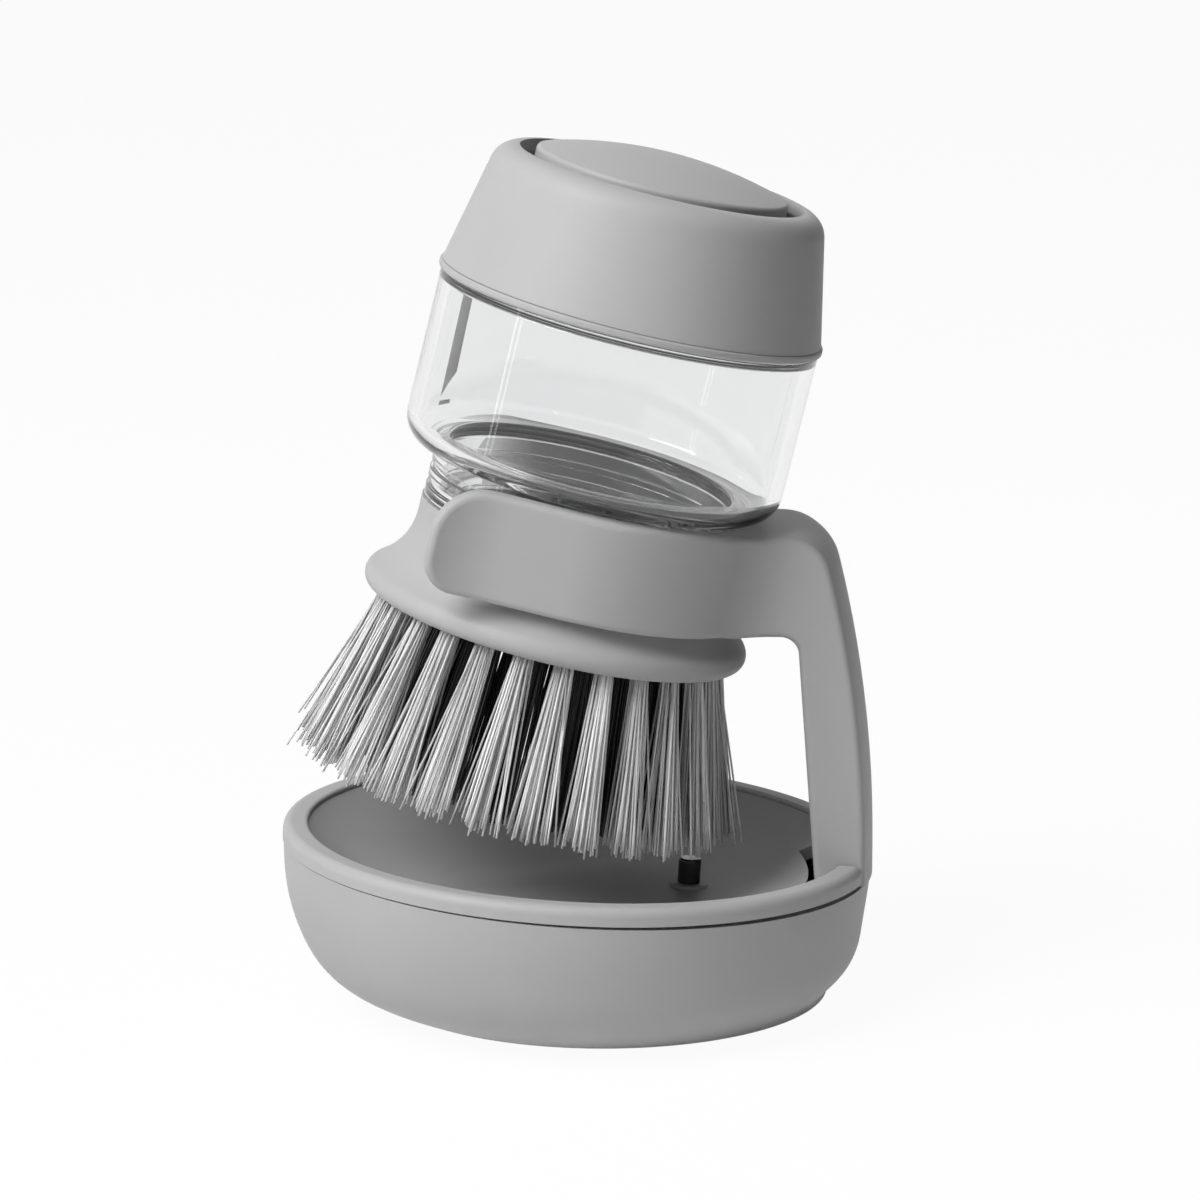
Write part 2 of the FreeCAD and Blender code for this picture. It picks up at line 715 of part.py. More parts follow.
# Cap: trim ring, tapered shell, gasket
trim_top = reservoir_height + trim_height
cap_trim_ring = body("cap_trim_ring", BRUSH)
turned(
    cap_trim_ring,
    "trim",
    [
        (mouth_radius + slack, reservoir_height),
        (trim_radius, reservoir_height),
        (trim_radius, trim_top),
        (mouth_radius + slack, trim_top),
    ],
)
rounded(
    cap_trim_ring,
    "trim_round",
    trim_edge,
    ring_edge((trim_radius, reservoir_height), (trim_radius, trim_top)),
)
cap_foot = trim_top + fit
cap_top = cap_foot + cap_height
gasket_top = mouth_top + gasket_thick
plate_top = gasket_top + plate_thick
slope = (cap_radius - cap_crown) / cap_height


def cap_inside(height):
    """Inner radius of the tapered cap wall at a height."""
    return cap_radius - (height - cap_foot) * slope - cap_wall


lip_low = cap_top - cap_lip
belly_top = plate_top + guide_room
cap_shell = body("cap_shell", BRUSH)
turned(
    cap_shell,
    "shell",
    [
        (mouth_radius + fit, cap_foot),
        (cap_radius, cap_foot),
        (cap_crown, cap_top),
        (cap_opening, cap_top),
        (cap_opening, lip_low),
        (cap_inside(lip_low), lip_low - cap_wall),
        (cap_inside(belly_top), belly_top),
        (cap_inside(belly_top), plate_top),
        (plate_radius + fit, plate_top),
        (plate_radius + fit, mouth_top),
        (mouth_radius + snap_height + fit, snap_high),
        (mouth_radius + snap_height + fit, snap_low - snap_height),
        (mouth_radius + fit, snap_low - snap_height),
    ],
)
rounded(cap_shell, "shoulder_round", cap_shoulder, ring_edge((cap_crown, cap_top)))
rounded(cap_shell, "opening_round", lip_round, ring_edge((cap_opening, lip_low)))
cap_gasket = body("cap_gasket", BRUSH)
turned(
    cap_gasket,
    "gasket",
    [
        (mouth_inner, mouth_top),
        (plate_radius, mouth_top),
        (plate_radius, gasket_top),
        (mouth_inner, gasket_top),
    ],
)

# Pump plate with the button guide and the air valve hole
catch_radius = button_radius + catch_width
guide_low = catch_radius + slack
guide_high = button_radius + slack
guide_outer = guide_low + guide_wall
vent_offset = (coil_radius + wire_radius + guide_low) / 2
guide_top = plate_top + guide_height
pump_plate = body("pump_plate", BRUSH)
turned(
    pump_plate,
    "plate",
    [
        (plate_hole, gasket_top),
        (plate_radius, gasket_top),
        (plate_radius, plate_top),
        (guide_outer, plate_top),
        (guide_outer, guide_top),
        (guide_high, guide_top),
        (guide_high, plate_top + guide_step),
        (guide_low, plate_top + guide_step),
        (guide_low, plate_top),
        (plate_hole, plate_top),
    ],
)
vent_sketch = sketch(pump_plate, "vent_outline", "XY_Plane")
disc(vent_sketch, vent_offset, ZERO, vent_hole)
cut_through(pump_plate, "vent", vent_sketch)

# Air valve: mushroom pulled through the plate
air_valve = body(
    "air_valve",
    (seat_x + vent_offset * cosine(lean), seat_z - vent_offset * sine(lean), lean),
)
vent_stem = vent_hole - fit
turned(
    air_valve,
    "mushroom",
    [
        (ZERO, gasket_top - vent_thick),
        (vent_disc, gasket_top - vent_thick),
        (vent_disc, gasket_top),
        (vent_stem, gasket_top),
        (vent_stem, plate_top),
        (vent_head, plate_top),
        (vent_head, plate_top + vent_head_thick),
        (ZERO, plate_top + vent_head_thick),
    ],
)

# Bellows and its clamp ring
bellows_lid = plate_top + bellows_height
flange_face = plate_top + bellows_skin
bellows = body("bellows", BRUSH)
turned(
    bellows,
    "skin",
    [
        (bellows_foot - bellows_skin, plate_top),
        (bellows_flange, plate_top),
        (bellows_flange, flange_face),
        (bellows_foot, flange_face),
        (bellows_top, bellows_lid),
        (ZERO, bellows_lid),
        (ZERO, bellows_lid - bellows_skin),
        (bellows_top - bellows_skin, bellows_lid - bellows_skin),
        (bellows_foot - bellows_skin, flange_face),
    ],
)
clamp_in = bellows_flange + fit
bellows_clamp = body("bellows_clamp", BRUSH)
turned(
    bellows_clamp,
    "clamp",
    [
        (bellows_foot + slack, flange_face),
        (bellows_foot + slack, flange_face + clamp_width),
        (clamp_out, flange_face + clamp_width),
        (clamp_out, plate_top),
        (clamp_in, plate_top),
        (clamp_in, flange_face),
    ],
)

# Button: dome, skirt with catch ring, spring ledge and pusher
edge_z = cap_top + button_edge
apex_z = edge_z + button_rise
dome_radius = (button_radius * button_radius + button_rise * button_rise) / (2 * button_rise)
skirt_low = plate_top + skirt_clear
skirt_inner = button_radius - button_wall
ledge_z = edge_z - button_roof
button = body("button", BRUSH)
turned(
    button,
    "dome",
    [
        (ZERO, bellows_lid + fit),
        (pusher_radius, bellows_lid + fit),
        (pusher_radius, apex_z - button_roof - button_wall),
        (ledge_inner, ledge_z + button_wall / 2),
        (ledge_inner, ledge_z),
        (skirt_inner, ledge_z),
        (skirt_inner, skirt_low),
        (catch_radius, skirt_low),
        (catch_radius, skirt_low + catch_height),
        (button_radius, skirt_low + catch_height),
        (button_radius, edge_z),
        (ZERO, apex_z, dome_radius, 1),
    ],
)
rounded(button, "button_round", button_round, ring_edge((button_radius, edge_z)))

# Return spring: half turns of arc, each flat at its ends so that they run on smoothly
coil_low = plate_top + wire_radius + fit
coil_high = ledge_z - wire_radius - fit
coil_step = (coil_high.value - coil_low.value) / (2 * coil_turns)
reach = coil_radius.value
wire = sheet.wire_radius
bow = math.hypot(reach, coil_step / 2)
arcs = []
for half_turn in range(2 * coil_turns):
    way = 1 if half_turn % 2 == 0 else -1
    low = coil_low.value + half_turn * coil_step
    arc = Part.Arc(
        V(way * reach, 0, low),
        V(0, way * bow, low + coil_step / 2),
        V(-way * reach, 0, low + coil_step),
    )
    arcs.append(arc.toShape())
coil_path = Part.Wire(arcs)
coil_start = Part.Circle(V(reach, 0, coil_low.value), V(0, 1, 0), wire)
coil = coil_path.makePipeShell([Part.Wire([coil_start.toShape()])], True, False)
print(f"spring turns apart {2 * coil_step - 2 * wire:.2f} mm")
return_spring = doc.addObject("Part::Feature", "return_spring")
return_spring.Label = "return_spring"
return_spring.Shape = coil
return_spring.Placement = FreeCAD.Placement(
    V(seat_x.value, 0, seat_z.value), FreeCAD.Rotation(V(0, 1, 0), lean.value)
)

# Non-slip foot
nonslip_foot = body("nonslip_foot")
foot_sketch = sketch(nonslip_foot, "foot_outline", "XY_Plane")
disc(foot_sketch, foot_offset, ZERO, foot_radius)
padded(nonslip_foot, "foot", foot_sketch, foot_thick)

# Bowl: lofted skin, sloping rim, boss and holes for the arm screws
floor_z = foot_thick + bowl_floor
bowl_sections = [
    ("floor", floor_z, floor_offset, bowl_radius - floor_inset),
    ("belly", belly_z, belly_offset, bowl_radius - belly_inset),
    ("flank", flank_z, flank_offset, bowl_radius - flank_inset),
    ("upper", upper_z, ZERO, bowl_radius - upper_inset),
    ("brim", brim_z, ZERO, bowl_radius - brim_inset),
    ("top", bowl_tall, ZERO, bowl_radius),
]
tray_base = rim_z - rim_height / cosine(rim_tilt)
seam_z = tray_base - fit - bowl_radius * tangent(seam_tilt)
seam_slope = tangent(rim_tilt + seam_tilt)
past = 2 * bowl_radius
base_bowl = body("base_bowl")
lofted(
    base_bowl,
    "skin_out",
    "AdditiveLoft",
    [("low", foot_thick, low_offset, ZERO, low_radius)]
    + [(n, z, x, ZERO, r) for n, z, x, r in bowl_sections],
)
lofted(
    base_bowl,
    "skin_in",
    "SubtractiveLoft",
    [(n, z, x, ZERO, r - bowl_wall) for n, z, x, r in bowl_sections],
)
boss_sketch = sketch(base_bowl, "boss_outline", "XY_Plane", floor_z - fit)
outline(
    boss_sketch,
    [
        (screw_x - boss_margin, -(screw_y + boss_margin)),
        (screw_x + boss_margin, -(screw_y + boss_margin)),
        (screw_x + boss_margin, screw_y + boss_margin),
        (screw_x - boss_margin, screw_y + boss_margin),
    ],
)
padded(base_bowl, "boss", boss_sketch, boss_z - floor_z + fit)
trim_sketch = sketch(base_bowl, "rim_cut", "XZ_Plane")
outline(
    trim_sketch,
    [
        (-past, seam_z + past * seam_slope),
        (past, seam_z - past * seam_slope),
        (past, seam_z + past),
        (-past, seam_z + past),
    ],
)
cut_through(base_bowl, "rim", trim_sketch)
head_room = screw_head_z + slack
shank_sketch = sketch(base_bowl, "shank_holes", "XY_Plane", ZERO)
for hand in (-1, 1):
    disc(shank_sketch, screw_x, hand * screw_y, screw_radius + fit)
cut_through(base_bowl, "shank_hole", shank_sketch)
sink_sketch = sketch(base_bowl, "sink_holes", "XY_Plane", foot_thick)
for hand in (-1, 1):
    disc(sink_sketch, screw_x, hand * screw_y, screw_head + slack)
cut_up(base_bowl, "sink_hole", sink_sketch, head_room)

# Drip tray: rim, dish, locating skirt, notch for the post, drain
dish_rise = dish_depth - rim_step
dish_arc = (dish_run * dish_run + dish_rise * dish_rise) / (2 * dish_rise)
skirt_outer = bowl_radius - bowl_wall - skirt_slack
skirt_low_z = -(rim_height + skirt_depth)
under_run = skirt_outer - skirt_width - dish_flat
under_rise = dish_depth + tray_thick + skirt_low_z
under_arc = (under_run * under_run + under_rise * under_rise) / (2 * under_rise)
drip_tray = body("drip_tray", TRAY)
turned(
    drip_tray,
    "dish",
    [
        (ZERO, -(dish_depth + tray_thick)),
        (dish_flat, -(dish_depth + tray_thick)),
        (skirt_outer - skirt_width, skirt_low_z, under_arc, 1),
        (skirt_outer, skirt_low_z),
        (skirt_outer, -rim_height),
        (bowl_radius, -rim_height),
        (bowl_radius, ZERO),
        (rim_inner, ZERO),
        (rim_inner, -rim_step),
        (dish_flat, -dish_depth, dish_arc, -1),
        (ZERO, -dish_depth),
    ],
)
rounded(drip_tray, "rim_round", rim_round, ring_edge((bowl_radius, ZERO)))
rounded(drip_tray, "rim_inner_round", rim_inner_round, ring_edge((rim_inner, ZERO)))
notch_half = post_width / 2 + notch_slack
lobe = (notch_half * notch_half + notch_bulge * notch_bulge) / (2 * notch_bulge)
notch_sketch = sketch(drip_tray, "notch_outline", "XY_Plane")
outline(
    notch_sketch,
    [
        (notch_inner, -notch_half, lobe, -1),
        (past, -notch_half),
        (past, notch_half),
        (notch_inner, notch_half),
    ],
)
cut_through(drip_tray, "notch", notch_sketch)
ring_sketch = sketch(drip_tray, "drain_ring_outline", "XY_Plane", -(dish_depth + fit))
disc(ring_sketch, plug_x, ZERO, drain_ring)
padded(drip_tray, "drain_ring", ring_sketch, drain_ring_height + fit)
drain_sketch = sketch(drip_tray, "drain_outline", "XY_Plane")
disc(drain_sketch, plug_x, ZERO, plug_stem + slack)
cut_through(drip_tray, "drain", drain_sketch)

# Drain plug standing in the tray
plug_seat = -(dish_depth - drain_ring_height) + fit
drain_plug = body(
    "drain_plug",
    (plug_x * cosine(rim_tilt), rim_z - plug_x * sine(rim_tilt), rim_tilt),
)
turned(
    drain_plug,
    "plug",
    [
        (ZERO, -(dish_depth + tray_thick + drain_ring_height)),
        (plug_stem, -(dish_depth + tray_thick + drain_ring_height)),
        (plug_stem, plug_seat),
        (plug_radius, plug_seat),
        (plug_radius, plug_seat + plug_height),
        (ZERO, plug_seat + plug_height),
    ],
)
rounded(
    drain_plug,
    "plug_round",
    plug_edge,
    ring_edge((plug_radius, plug_seat + plug_height)),
)

# Stand arm: a fork drawn along the brush axis, trimmed to the side view of the arm
drop = band_height + seat_gap
bell_fall = drop - waist_low
bell_arc = bell_share * flare_sum
bell_at_fork = head_radius + bell_arc - root(bell_arc * bell_arc - bell_fall * bell_fall)
fork_inner = bell_at_fork + arm_gap
fork_outer = fork_inner + arm_thick
half_post = post_width / 2
web_y = half_post + web_round
web_x = root((fork_outer + web_round) * (fork_outer + web_round) - web_y * web_y)
meet = fork_outer / (fork_outer + web_round)
flare_run = arm_reach - flare_start
flare_arc = (flare_run * flare_run + flare_out * flare_out) / (2 * flare_out)
plan_lift = 10.0
plan_drop = 100.0
far = 80.0
stand_arm = body("stand_arm")
plan = sketch(stand_arm, "fork_plan", "XY_Plane")
plan.AttachmentOffset = FreeCAD.Placement(
    V(0, 0, 0), FreeCAD.Rotation(V(0, 1, 0), lean.value)
)
plan.setExpression("AttachmentOffset.Base.x", (seat_x + plan_lift * sine(lean)).text)
plan.setExpression("AttachmentOffset.Base.z", (seat_z + plan_lift * cosine(lean)).text)
plan.setExpression("AttachmentOffset.Rotation.Angle", f"{lean.text} * 1 deg")
outline(
    plan,
    [
        (ZERO, fork_inner, fork_inner, 1),
        (-flare_start, fork_inner),
        (-arm_reach, fork_inner + flare_out, flare_arc - arm_thick, -1),
        (-arm_reach, fork_outer + flare_out),
        (-flare_start, fork_outer, flare_arc, 1),
        (ZERO, fork_outer),
        (web_x * meet, web_y * meet, fork_outer, -1),
        (web_x, half_post, web_round, 1),
        (far, half_post),
        (far, -half_post),
        (web_x, -half_post),
        (web_x * meet, -(web_y * meet), web_round, 1),
        (ZERO, -fork_outer, fork_outer, -1),
        (-flare_start, -fork_outer),
        (-arm_reach, -(fork_outer + flare_out), flare_arc, 1),
        (-arm_reach, -(fork_inner + flare_out)),
        (-flare_start, -fork_inner, flare_arc - arm_thick, -1),
        (ZERO, -fork_inner),
        (fork_inner, ZERO, fork_inner, 1),
    ],
)
fork = stand_arm.newObject("PartDesign::Pad", "fork")
fork.Profile = plan
fork.Reversed = True
fork.Length = plan_drop
doc.recompute()


def in_brush(along, height):
    """Side-view point at a distance along the fork and a height on the brush axis."""
    x = seat_x + along * cosine(lean) + height * sine(lean)
    z = seat_z - along * sine(lean) + height * cosine(lean)
    return x, z


bend = bend_round * tangent(lean / 2)
top_bend = (seat_z - seat_gap * cosine(lean) - stem_top) / sine(lean)
low_bend = (seat_z - drop * cosine(lean) - stem_bottom) / sine(lean)
top_bend_x = in_brush(top_bend, -seat_gap)[0]
low_bend_x = in_brush(low_bend, -drop)[0]
shoulder_z = seam_z - bowl_radius * seam_slope + fit
bow_z = shoulder_z + post_rise
bow_rise = stem_top - knee_round - bow_z
bow_less = post_bow - knee_round
bow_x = bowl_radius - post_bow
knee_x = bow_x + root(bow_less * bow_less - bow_rise * bow_rise)
knee_share = post_bow / bow_less
knee_end_x = bow_x + (knee_x - bow_x) * knee_share
knee_end_z = bow_z + bow_rise * knee_share
beyond = 1.5 * bowl_radius
arm_side = sketch(stand_arm, "arm_side", "XZ_Plane")
outline(arm_side, [(-past, -past), (past, -past), (past, 2 * past), (-past, 2 * past)])
outline(
    arm_side,
    [
        in_brush(-arm_reach + tip_round, -seat_gap) + (tip_round, -1),
        in_brush(top_bend - bend, -seat_gap),
        (top_bend_x + bend, stem_top, bend_round, 1),
        (beyond, stem_top),
        (beyond, shoulder_z - (beyond - bowl_radius) * seam_slope),
        (bowl_radius - tongue_top_in, shoulder_z + tongue_top_in * seam_slope),
        (bowl_radius - tongue_flank_in, flank_z),
        (bowl_radius - tongue_foot_in, boss_z),
        (bowl_radius - sole_in, boss_z),
        (bowl_radius - sole_in, sole_top),
        (post_foot_x, sole_top),
        (post_head_x, stem_bottom - knee_inner),
        (post_head_x - knee_inner, stem_bottom, knee_inner, 1),
        (low_bend_x + bend, stem_bottom),
        in_brush(low_bend - bend, -drop) + (bend_round, -1),
        in_brush(-arm_reach + tip_low_round, -drop),
        in_brush(-arm_reach, -drop + tip_low_round) + (tip_low_round, -1),
        in_brush(-arm_reach, -seat_gap - tip_round),
    ],
)
cut_through(stand_arm, "arm_outline", arm_side)
# The back of the post follows the round of the bowl
back = sketch(stand_arm, "post_back_profile", "XZ_Plane")
outline(
    back,
    [
        (bowl_radius, ZERO),
        (bowl_radius, bow_z),
        (knee_end_x, knee_end_z, post_bow, 1),
        (knee_x, stem_top, knee_round, 1),
        (knee_x, past),
        (past, past),
        (past, ZERO),
    ],
)
post_back = stand_arm.newObject("PartDesign::Groove", "post_back")
post_back.Profile = back
post_back.ReferenceAxis = (back, ["V_Axis"])
post_back.Midplane = True
post_back.Angle = 180
doc.recompute()


def outer_wall(along):
    """Half width of the arm, from the mid plane to its outer wall, in the fork's plan."""
    if along < -flare_start.value:
        run = along + flare_start.value
        return fork_outer.value + flare_arc.value - math.sqrt(flare_arc.value**2 - run**2)
    if along < 0:
        return fork_outer.value
    if along < (web_x * meet).value:
        return math.sqrt(fork_outer.value**2 - along**2)
    if along < web_x.value:
        return web_y.value - math.sqrt(web_round.value**2 - (along - web_x.value) ** 2)
    return half_post.value


def arm_rim(edge):
    """Test for edges where the outer wall of the arm turns into its top, end or underside."""
    near = 0.01
    steep = 0.999
    slant = math.radians(lean.value)
    axis = V(math.sin(slant), 0, math.cos(slant))
    level = V(math.cos(slant), 0, -math.sin(slant))
    seat = V(seat_x.value, 0, seat_z.value)
    spread = edge.LastParameter - edge.FirstParameter
    for share in (0.1, 0.5, 0.9):
        spot = edge.valueAt(edge.FirstParameter + share * spread)
        along = (spot - seat).dot(level)
        if abs(abs(spot.y) - outer_wall(along)) > near or spot.z < shoulder_z.value + edge_round.value:
            return False
    upright = abs(edge.tangentAt(edge.FirstParameter + spread / 2).dot(axis)) > steep
    return not upright or along < near - arm_reach.value


rounded(stand_arm, "arm_round", edge_round, arm_rim)
pilot_sketch = sketch(stand_arm, "pilot_holes", "XY_Plane", boss_z)
for hand in (-1, 1):
    disc(pilot_sketch, screw_x, hand * screw_y, screw_radius + fit)
screw_seat = foot_thick + head_room
cut_up(stand_arm, "pilot_hole", pilot_sketch, screw_seat + screw_length - boss_z + slack)

# Arm screws
arm_screws = body("arm_screws")
head_sketch = sketch(arm_screws, "screw_heads", "XY_Plane", screw_seat - screw_head_z)
for hand in (-1, 1):
    disc(head_sketch, screw_x, hand * screw_y, screw_head)
padded(arm_screws, "screw_head", head_sketch, screw_head_z)
thread_sketch = sketch(arm_screws, "screw_shanks", "XY_Plane", screw_seat)
for hand in (-1, 1):
    disc(thread_sketch, screw_x, hand * screw_y, screw_radius)
padded(arm_screws, "screw_shank", thread_sketch, screw_length)

doc.recompute()
for thing in doc.Objects:
    if "Invalid" in thing.State or "Error" in thing.State:
        raise RuntimeError(f"{thing.Name} did not build: {thing.State}")

pieces = [o for o in doc.Objects if o.isDerivedFrom("PartDesign::Body")] + [return_spring]
os.makedirs("parts", exist_ok=True)
for piece in pieces:
    shape = piece.Shape
    if shape.isNull() or not shape.isValid():
        raise RuntimeError(f"{piece.Label} has no valid shape")
    shape.exportStep(f"parts/{piece.Label}.step")
    print(f"{piece.Label} solids {len(shape.Solids)} volume {shape.Volume:.0f}")
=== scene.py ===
"""Looks for the palm-held dish brush on its storage stand.

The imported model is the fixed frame: metres, +Z up, +X toward the post of the
stand. The grey mouldings keep their solids and get finishes here. The clear
reservoir, the bristle bundles, the return spring and the bellows are made anew
as numpy surfaces.
"""

import json
import math

import bpy
import numpy as np
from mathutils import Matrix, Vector


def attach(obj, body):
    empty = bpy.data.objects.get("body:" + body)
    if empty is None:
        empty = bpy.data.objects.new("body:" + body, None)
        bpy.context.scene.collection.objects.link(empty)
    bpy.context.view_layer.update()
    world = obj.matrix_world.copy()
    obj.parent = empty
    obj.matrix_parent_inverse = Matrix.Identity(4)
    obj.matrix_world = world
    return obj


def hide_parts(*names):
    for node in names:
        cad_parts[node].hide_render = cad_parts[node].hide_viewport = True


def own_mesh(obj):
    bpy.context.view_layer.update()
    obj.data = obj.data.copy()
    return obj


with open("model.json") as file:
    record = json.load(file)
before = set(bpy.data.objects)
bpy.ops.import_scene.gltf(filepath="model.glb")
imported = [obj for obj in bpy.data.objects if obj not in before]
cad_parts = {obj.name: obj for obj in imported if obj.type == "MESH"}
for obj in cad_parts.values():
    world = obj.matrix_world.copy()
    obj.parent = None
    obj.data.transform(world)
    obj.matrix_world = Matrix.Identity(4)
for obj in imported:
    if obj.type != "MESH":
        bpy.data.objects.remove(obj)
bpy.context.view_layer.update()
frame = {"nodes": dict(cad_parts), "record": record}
nodes = frame["nodes"]

MM = 0.001

# Brush frame: origin under the middle of the reservoir, w along the brush axis
LEAN = math.radians(13.6)
SEAT = np.array([1.9, 0.0, 92.5]) * MM
BRUSH_AXIS = np.array([math.sin(LEAN), 0.0, math.cos(LEAN)])
BRUSH_SIDE = np.array([math.cos(LEAN), 0.0, -math.sin(LEAN)])

# Bristles
TUFT_ROOF = -22.1 * MM
TIP_PLANE = -56.4 * MM
TUFT_ROOT = 1.5 * MM
FILAMENT = 0.21 * MM
FILAMENT_SIDES = 6
FILAMENT_RINGS = 8
FIRST_RING = 0.06  # share of the way down where a strand leaves its hole
TIP_TAPER = 0.15  # share of its thickness that a strand loses toward the tip
DISC_FILL = 0.92  # share of the root and tip discs that a bundle fills
STRAY_SCATTER = 0.55  # scatter of stray tips, as a share of the bundle's spread
EVEN_SCATTER = 0.1  # scatter of the other tips
STRAY_LIMIT = 1.35  # farthest tip from the bundle's middle, as a share of the spread
BOW = 0.12 * MM
TRIM_DEPTH = 0.07  # share of its length by which a strand may be cut shorter
TRIM_POWER = 1.8  # keeps most strands near full length

# Pump
PLATE_TOP = 39.4 * MM
COIL_LOW = 40.1 * MM
COIL_HIGH = 51.9 * MM
COIL_RADIUS = 18.9 * MM
COIL_TURNS = 4
COIL_STEPS = 48 * COIL_TURNS
COIL_FLAT = 0.06  # share of the wire that lies flat at each end
WIRE = 0.6 * MM
WIRE_SIDES = 10
WIRE_END = 0.02  # share of the thickness at the two closed ends of the wire
BELLOWS_FOOT = 12.9 * MM
BELLOWS_FLANGE = 16.2 * MM
BELLOWS_TOP = 7.4 * MM
BELLOWS_LID = 52.2 * MM
BELLOWS_SKIN = 1.2 * MM
BELLOWS_RIPPLE = 0.45 * MM
BELLOWS_FOLDS = 3
BELLOWS_ROWS = 40
BELLOWS_SIDES = 72
AXIS_GAP = 0.01 * MM  # keeps the lid's points off the axis

# Clear reservoir: corners of its wall as radius, height on the brush axis and rounding, in mm
TUB_WALL = [
    (33.4, 0.0, 5.0),
    (33.4, 30.7, 0.3),
    (30.0, 30.7, 0.2),
    (30.0, 32.7, 0.2),
    (30.4, 33.1, 0.2),
    (30.4, 34.5, 0.2),
    (30.0, 34.9, 0.2),
    (30.0, 36.4, 0.3),
    (27.8, 36.4, 0.3),
    (27.8, 29.4, 0.3),
    (31.0, 29.4, 0.6),
    (31.0, 2.6, 2.4),
    (24.9, 2.6, 0.8),
    (24.9, -6.3, 0.5),
    (21.9, -6.3, 0.5),
    (21.9, -17.4, 0.3),
    (24.3, -17.4, 0.3),
    (24.3, -14.6, 0.1),
    (24.3, -12.8, 0.1),
    (24.3, -8.7, 0.3),
    (27.3, -8.7, 0.3),
    (27.3, -6.8, 0.2),
    (26.6, -6.8, 0.2),
    (26.6, -5.6, 0.2),
    (27.3, -5.6, 0.2),
    (27.3, -3.8, 0.2),
    (26.6, -3.8, 0.2),
    (26.6, -2.6, 0.2),
    (27.3, -2.6, 0.2),
    (27.3, 0.0, 0.4),
]
TUB_SIDES = 240
CORNER_STEPS = 7
STRAIGHT_KEEP = 0.04 * MM  # extra point beside each round corner
LUG_BAND = (24.2 * MM, 24.5 * MM)  # radii of the spigot wall that carries the lugs
LUG_EDGE = 0.01 * MM
LUG_HEIGHT = 1.2 * MM
LUG_SPAN = (-14.6 * MM, -12.8 * MM)
LUG_HALF = math.radians(12.0)
LUG_COUNT = 3

GRAIN_DEPTH = 0.00002  # relief of moulded surfaces, metres


# ---------------------------------------------------------------- finishes


class Wire:
    """A node's output socket. Arithmetic on wires adds Math nodes to the finish."""

    def __init__(self, finish, socket):
        self.finish = finish
        self.socket = socket

    def maths(self, operation, first, second):
        return self.finish.node(
            "ShaderNodeMath", {"operation": operation}, {0: first, 1: second}
        )

    def __add__(self, other):
        return self.maths("ADD", self, other)

    __radd__ = __add__

    def __mul__(self, other):
        return self.maths("MULTIPLY", self, other)

    __rmul__ = __mul__


class Finish:
    """A node material, or the world, made of nodes that are wired by socket."""

    def __init__(self, owner):
        self.owner = owner
        owner.use_nodes = True
        self.tree = owner.node_tree
        self.tree.nodes.clear()

    def node(self, kind, settings=None, sockets=None, out=0):
        """Add a node with its settings, then values or wires on its sockets; give one output."""
        made = self.tree.nodes.new(kind)
        for name, value in (settings or {}).items():
            setattr(made, name, value)
        for name, value in (sockets or {}).items():
            if isinstance(value, Wire):
                self.tree.links.new(value.socket, made.inputs[name])
            else:
                made.inputs[name].default_value = value
        return Wire(self, made.outputs[out]) if len(made.outputs) else None

    def place(self):
        """Object coordinates of the piece."""
        return self.node("ShaderNodeTexCoord", out="Object")

    def mottle(self, scale, detail=3.0, stretch=None):
        """Cloudy variation between 0 and 1, a feature being about 1 / scale metres across."""
        spot = self.place()
        if stretch:
            spot = self.node("ShaderNodeMapping", {}, {"Vector": spot, "Scale": stretch})
        return self.node(
            "ShaderNodeTexNoise", {}, {"Vector": spot, "Scale": scale, "Detail": detail}
        )

    def between(self, share, dark, light):
        """Colour between two greys or tints by a share."""
        return self.node(
            "ShaderNodeMix",
            {"data_type": "RGBA"},
            {"Factor": share, 6: tint(dark), 7: tint(light)},
            out=2,
        )

    def relief(self, height, depth, strength=1.0):
        """Normal of a fine relief of the given depth in metres."""
        return self.node(
            "ShaderNodeBump", {}, {"Height": height, "Distance": depth, "Strength": strength}
        )

    def surface(self, **sockets):
        """End a material in the standard shader; underscores stand for spaces in socket names."""
        named = {name.replace("_", " "): value for name, value in sockets.items()}
        shader = self.node("ShaderNodeBsdfPrincipled", {}, named)
        self.node("ShaderNodeOutputMaterial", {}, {"Surface": shader})
        return self.owner


def tint(colour):
    """Four channels from a grey level or from three channels."""
    if isinstance(colour, float):
        return (colour, colour, colour, 1.0)
    return tuple(colour) + (1.0,)


def new_finish(name):
    return Finish(bpy.data.materials.new(name))


def moulded_grey(name, grey):
    """Matte moulding: spark-textured grain, faint clouding of tone and sheen."""
    finish = new_finish(name)
    cloud = finish.mottle(45.0)
    grain = finish.mottle(2600.0, 2.0)
    return finish.surface(
        Base_Color=finish.between(cloud, grey * 0.95, grey * 1.05),
        Roughness=0.42 + cloud * 0.1 + grain * 0.06,
        IOR=1.47,
        Specular_IOR_Level=0.28,
        Normal=finish.relief(grain, GRAIN_DEPTH, 0.35),
    )


def clear_moulding():
    """Clear polished plastic with the slight waviness and wipe marks of a moulding."""
    finish = new_finish("clear_plastic")
    wave = finish.mottle(60.0, 1.0)
    return finish.surface(
        Base_Color=finish.between(wave, (0.885, 0.89, 0.895), (0.91, 0.91, 0.91)),
        Roughness=wave * 0.01,
        IOR=1.49,
        Transmission_Weight=1.0,
        Normal=finish.relief(wave, 0.0001, 0.06),
    )


